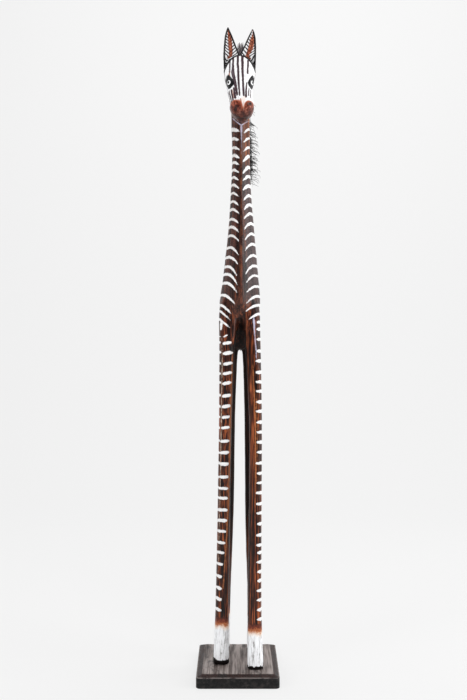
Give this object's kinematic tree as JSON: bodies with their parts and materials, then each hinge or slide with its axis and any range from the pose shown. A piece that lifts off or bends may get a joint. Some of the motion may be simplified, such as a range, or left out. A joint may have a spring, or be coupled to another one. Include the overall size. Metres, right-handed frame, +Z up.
{
  "type": "carved animal statue",
  "caption": "Tall slender carved wooden zebra on long straight legs, with painted stripes, upright leaf-shaped ears and a hair mane, standing on a chamfered plinth.",
  "frame": {"origin": "middle of the plinth's underside", "axes": "+Z up the legs and neck; the animal faces -Y; +X is the animal's own left, to the right for someone who looks at its face"},
  "size_m": [0.124, 0.1955, 0.9853],
  "materials": {
    "stained_wood": "dark burnt stain with reddish grain, satin varnish, white painted stripes",
    "painted_head": "white paint with dark hand-painted stripes and a reddish-brown muzzle, satin",
    "painted_ear": "white paint with an orange-brown centre and black veins, satin",
    "plinth_wood": "near-black stain, worn grey-brown on top, satin",
    "pale_wood": "bare pale wood or bamboo",
    "screw_steel": "zinc-plated steel",
    "hair": "black plant fibre"
  },
  "bodies": {
    "root": {"plinth": "plinth_wood", "carved_body": "stained_wood", "carved_head": "painted_head", "ear_right": "painted_ear", "ear_left": "painted_ear", "ear_pin_right": "pale_wood", "ear_pin_left": "pale_wood", "neck_dowel": "pale_wood", "leg_screw_front_left": "screw_steel", "leg_screw_front_right": "screw_steel", "leg_screw_hind_left": "screw_steel", "leg_screw_hind_right": "screw_steel", "mane_tuft_1": "hair", "mane_tuft_2": "hair", "mane_tuft_3": "hair", "mane_tuft_4": "hair", "mane_tuft_5": "hair", "mane_tuft_6": "hair", "mane_tuft_7": "hair", "forelock_tuft": "hair", "tail_tuft": "hair"}
  },
  "joints": []
}
